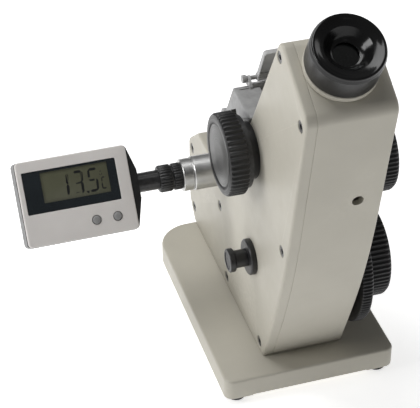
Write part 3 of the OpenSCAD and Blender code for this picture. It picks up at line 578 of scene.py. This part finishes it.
def tray(outer, inner, a0, a1, floor, r=0.4, place=YZ):
    """Shallow tray: an outline from a0 to a1 with a recess down to floor. Both outlines have the same point count."""
    rings = [[place(u, v, a0) for u, v in shrink(outer, r)], [place(u, v, a0 + r) for u, v in outer],
             [place(u, v, a1 - r) for u, v in outer], [place(u, v, a1 - r * 0.3) for u, v in shrink(outer, r * 0.3)],
             [place(u, v, a1) for u, v in shrink(outer, r)],
             [place(u, v, a1) for u, v in shrink(inner, -r * 0.5)], [place(u, v, a1 - r * 0.5) for u, v in inner],
             [place(u, v, floor) for u, v in inner]]
    return loft(rings)


RBACK = lambda u, v, a: Vector((u, a, v))
piece("reflector_tray", join((tray(frame_o, frame_i, -1.5, 1.5, 0.1, 0.4, RBACK), REFL),
      (revolve([(1.21, -9), (2.1, -9), (2.4, -8.7), (2.4, 16.7), (2.1, 17), (1.21, 17)], 48, closed=True), axle(RF))),
      I4, "reflector_grey", node="reflector_frame")
piece("reflector_glass", slab(rect(-7.3, 3.7, 15.3, 22.9, 0.7), 0.15, 1.35, 0, 0.25, RBACK), REFL, "mirror", node="reflector_mirror")
shut = [(slab(rect(-10.8, -122, 7.8, -107.4, 1.2), 28.5, 29.9, 0.25, 0.25, lambda u, v, a: Vector((u, a, v))), SLOPE),
        (slab(rect(-5, -122, 3, -120.4, 0.4), 29.2, 33.2, 0, 0.5, lambda u, v, a: Vector((u, a, v))), SLOPE),
        (revolve([(0, -13), (0.8, -13), (0.8, -10.8), (1.4, -10.8), (1.4, 7.8), (0.8, 7.8), (0.8, 10), (0, 10)], 40),
         SLOPE @ Matrix.Translation((0, 29.7, -107)) @ Matrix.Rotation(math.radians(90), 4, "Y"))]
piece("window_shutter", join(*shut), I4, "grey_paint", node="light_shutter")

# ------------------------------------------------------------------ water nozzles
def nozzle(y, z_):
    hexa = [(4.4 * math.cos(math.radians(60 * i)), 4.4 * math.sin(math.radians(60 * i))) for i in range(6)]
    pr = [(1.6, 0), (3.0, 0), (3.0, 3)]
    z = 3.0
    while z < 14.5:                       # barbs that hold the hose
        pr += [(3.0, z + 0.2), (2.55, z + 2.3), (2.55, z + 2.5), (3.0, z + 2.8)]
        z += 2.8
    pr += [(3.0, 15.0), (2.3, 16), (1.6, 16)]
    m = INST @ Matrix.Translation((19, y, z_)) @ Matrix.Rotation(math.radians(90), 4, "Y")
    return [(slab(hexa, 0, 3, 0, 0.4, XY), m), (revolve(pr, 40, closed=True), m)]


piece("lower_hose_barbs", join(*(nozzle(83.9, 86.1) + nozzle(96.3, 88.6))), I4, "satin_metal", node="lower_water_nozzles")
piece("upper_hose_barbs", join(*(nozzle(65.1, 130.7) + nozzle(77.0, 127.1))), I4, "satin_metal", node="upper_water_nozzles")

# ------------------------------------------------------------------ thermometer
sleeve = [(4.98, -9.2), (4.98, -23.2), (9.7, -23.2), (9.7, -41.9), (9.3, -42.4), (8.5, -42.5), (8.5, -42.9), (8.9, -42.9),
          (9.2, -43.2), (9.2, -48.4), (8.8, -48.8), (2.9, -48.8), (2.9, -9.2)]
piece("thermometer_sleeve", revolve(sleeve, 112, closed=True), axle(THERM), "sleeve", node="thermometer_seat")
nut = [(2.9, -48.9), (7.0, -48.9), (7.5, -49.3, 0.35), (7.6, -50, 0.35), (7.6, -53, 0.35), (7.4, -53.6, 0.2), (6.9, -53.8), (6.9, -54.5),
       (7.4, -54.7, 0.2), (7.7, -55.2, 0.35), (7.7, -61, 0.35), (7.2, -61.9, 0.2), (6.6, -62.2), (5.5, -62.2), (5.5, -59.8), (2.9, -59.8)]
piece("thermometer_gland", revolve(nut, rib=(28, 1), closed=True), axle(THERM), "black_plastic", node="thermometer_nut")

hx0, hx1, hv0, hv1 = -141.8, -78.8, -25.2, 22.6
# rear shell: rounded back, a wedge that runs into the stem, and the stem
back_q = rounded([(hx0, hv0, 2.5), (hx1, hv0, 3), (hx1 + 4.4, -8, 3), (hx1 + 4.4, 8, 3), (hx1, hv1, 3), (hx0, hv1, 2.5)])
shell = [(slab(back_q, -9.2, 7.2, 1.8, 0.2, FACE, 5), HEAD),
         (revolve([(0, -78.4), (5.48, -78.4), (5.48, -60.0), (5.2, -59.8), (0, -59.8)], 64), axle(THERM))]
piece("display_rear_case", join(*shell), I4, "black_plastic", node="display_back_shell")
# front shell with its window recess and button holes
face_o = shrink(rect(hx0, hv0, hx1, hv1, 2.6), 0.3)
face_i = rect(-138.7, -7.2, -86, 16.3, 0.7)
rings = [[FACE(u, v, 7.4) for u, v in shrink(face_o, 0.2)], [FACE(u, v, 7.6) for u, v in face_o]]
for i in range(6):
    t = math.pi / 2 * i / 5
    rings.append([FACE(u, v, 10 - 0.7 * (1 - math.sin(t))) for u, v in shrink(face_o, 0.7 * (1 - math.cos(t)))])
rings += [[FACE(u, v, 10) for u, v in shrink(face_i, -0.25)], [FACE(u, v, 9.75) for u, v in face_i],
          [FACE(u, v, 8.2) for u, v in face_i]]
front = piece("display_front_case", loft(rings), HEAD, "white_plastic", node="display_front_shell")
dig = [(rod(2.7, 6.9, 12), HEAD @ Matrix.Translation((x, 0, -16)) @ Matrix.Rotation(math.radians(90), 4, "X")) for x in (-102, -90)]
cut(front, *dig)
for x, n, nm in ((-102, "display_buttons_left", "button_cap_left"), (-90, "display_buttons_right", "button_cap_right")):
    piece(nm, revolve([(0, 7.1), (2.6, 7.1), (2.3, 7.5), (2.3, 10.0), (2.15, 10.4), (1.7, 10.68), (1.0, 10.78), (0, 10.8)], 48),
          HEAD @ Matrix.Translation((x, 0, -16)) @ Matrix.Rotation(math.radians(90), 4, "X"), "grey_button", node=n)
# tinted window with the clear part that shows the display
win_o, win_i = rect(-138.6, -7.1, -86.1, 16.2, 0.6), rect(-128.7, -2.0, -91.0, 14.9, 0.3)
rings = [[FACE(u, v, 8.4) for u, v in win_o], [FACE(u, v, 9.35) for u, v in win_o], [FACE(u, v, 9.6) for u, v in shrink(win_o, 0.25)],
         [FACE(u, v, 9.6) for u, v in win_i], [FACE(u, v, 9.0) for u, v in win_i], [FACE(u, v, 8.4) for u, v in win_i]]
piece("display_window_mask", loft(rings, closed=True), HEAD, "window_plastic", node="display_window")
piece("display_lcd", slab(rect(-128.9, -2.2, -90.8, 15.1, 0.3), 8.6, 9.05, 0, 0.05, FACE), HEAD, "lcd")


def seg_bars(x, v, w, h, t, on, lean=0.06):
    """Seven-segment figure. x, v: lower left corner; on: lit segments out of abcdefg."""
    g = t * 0.04
    hh = h / 2
    S = {"a": ((0, h), (w, h)), "b": ((w, h), (w, hh)), "c": ((w, hh), (w, 0)), "d": ((0, 0), (w, 0)),
         "e": ((0, hh), (0, 0)), "f": ((0, h), (0, hh)), "g": ((0, hh), (w, hh))}
    out = []
    for s in on:
        (x0, y0), (x1, y1) = S[s]
        a, b = Vector((x0, y0)), Vector((x1, y1))
        d = (b - a).normalized()
        n = Vector((-d.y, d.x)) * t / 2
        a, b = a + d * g, b - d * g
        pts = [a, a + d * t / 2 - n, b - d * t / 2 - n, b, b - d * t / 2 + n, a + d * t / 2 + n]
        pts = [(x + p.x + p.y * lean, v + p.y) for p in pts]
        if sum(pts[i][0] * pts[(i + 1) % 6][1] - pts[(i + 1) % 6][0] * pts[i][1] for i in range(6)) < 0:
            pts.reverse()
        out.append((slab(pts, 9.04, 9.09, 0, 0, FACE), HEAD))
    return out


LX, LV, LW, LH = -128.7, -2.0, 37.7, 16.9
ink = seg_bars(LX + 0.375 * LW, LV + 0.13 * LH, 0.001, 0.70 * LH, 1.5, "bc") \
    + seg_bars(LX + 0.475 * LW, LV + 0.13 * LH, 4.4, 0.70 * LH, 1.35, "abcdg") \
    + [(slab(rect(LX + 0.645 * LW, LV + 0.08 * LH, LX + 0.685 * LW, LV + 0.17 * LH, 0.3), 9.04, 9.09, 0, 0, FACE), HEAD)] \
    + seg_bars(LX + 0.70 * LW, LV + 0.13 * LH, 4.4, 0.70 * LH, 1.35, "acdfg") \
    + seg_bars(LX + 0.885 * LW, LV + 0.15 * LH, 2.3, 0.36 * LH, 0.75, "adef") \
    + seg_bars(LX + 0.875 * LW, LV + 0.60 * LH, 1.1, 2.0, 0.5, "abcdef")
piece("display_figures", join(*ink), I4, "lcd_ink", angle=30)

# ------------------------------------------------------------------ floor, light, camera
floor_me = bpy.data.meshes.new("floor")
bm = bmesh.new()
bmesh.ops.create_grid(bm, x_segments=2, y_segments=2, size=6.0)
bm.to_mesh(floor_me)
bm.free()
floor = bpy.data.objects.new("floor", floor_me)
floor.location = (0, 0, -0.0002)
bpy.context.scene.collection.objects.link(floor)
fmat = shade("floor", (0.84, 0.84, 0.84), (0.86, 0.86, 0.86), (0.7, 0.8), patch=2, grain=300, depth=0.00001, strength=0.05, spec=0.2)
fb = next(n for n in fmat.node_tree.nodes if n.type == "BSDF_PRINCIPLED")
fb.inputs["Emission Color"].default_value = (1, 1, 1, 1)
fb.inputs["Emission Strength"].default_value = 0.66
floor_me.materials.append(fmat)

world = bpy.data.worlds.new("studio")
bpy.context.scene.world = world
world.use_nodes = True
world.node_tree.nodes["Background"].inputs[0].default_value = (1, 1, 1, 1)
world.node_tree.nodes["Background"].inputs[1].default_value = 0.11


def lamp(name, loc, aim, size, power, size_y=None):
    d = bpy.data.lights.new(name, "AREA")
    d.shape = "RECTANGLE"
    d.size, d.size_y = size, size_y or size
    d.energy = power
    o = bpy.data.objects.new(name, d)
    o.location = loc
    o.rotation_mode = "QUATERNION"
    o.rotation_quaternion = (Vector(aim) - Vector(loc)).to_track_quat("-Z", "Y")
    bpy.context.scene.collection.objects.link(o)
    return o


mid_pt = (0, 0, 0.11)
lamp("overhead", (-0.30, 0.40, 1.30), mid_pt, 0.9, 11.0)
lamp("key", (-1.2, 0.0, 0.72), mid_pt, 0.5, 5.4)
lamp("front", (0.15, -1.25, 0.70), mid_pt, 0.4, 0.12)
lamp("side", (1.1, 0.1, 0.75), mid_pt, 0.4, 0.8)

cam_d = bpy.data.cameras.new("camera")
cam = bpy.data.objects.new("camera", cam_d)
cam_d.sensor_fit = "HORIZONTAL"
cam_d.sensor_width = 36.0
cam_d.lens = 1600 / 420 * 36.0
cam_d.clip_start, cam_d.clip_end = 0.05, 30
psi, th, roll = math.radians(16.876), math.radians(36.5), math.radians(-0.339)
F = Vector((math.sin(psi) * math.cos(th), math.cos(psi) * math.cos(th), -math.sin(th)))
R0 = Vector((math.cos(psi), -math.sin(psi), 0))
U0 = R0.cross(F)
R = R0 * math.cos(roll) + U0 * math.sin(roll)
U = -R0 * math.sin(roll) + U0 * math.cos(roll)
rot = Matrix((R, U, -F)).transposed().to_4x4()
cam.matrix_world = Matrix.Translation(INST @ Vector((-246.70, -619.59, 604.71))) @ rot
bpy.context.scene.collection.objects.link(cam)
bpy.context.scene.camera = cam
bpy.context.scene.view_settings.view_transform = "Standard"
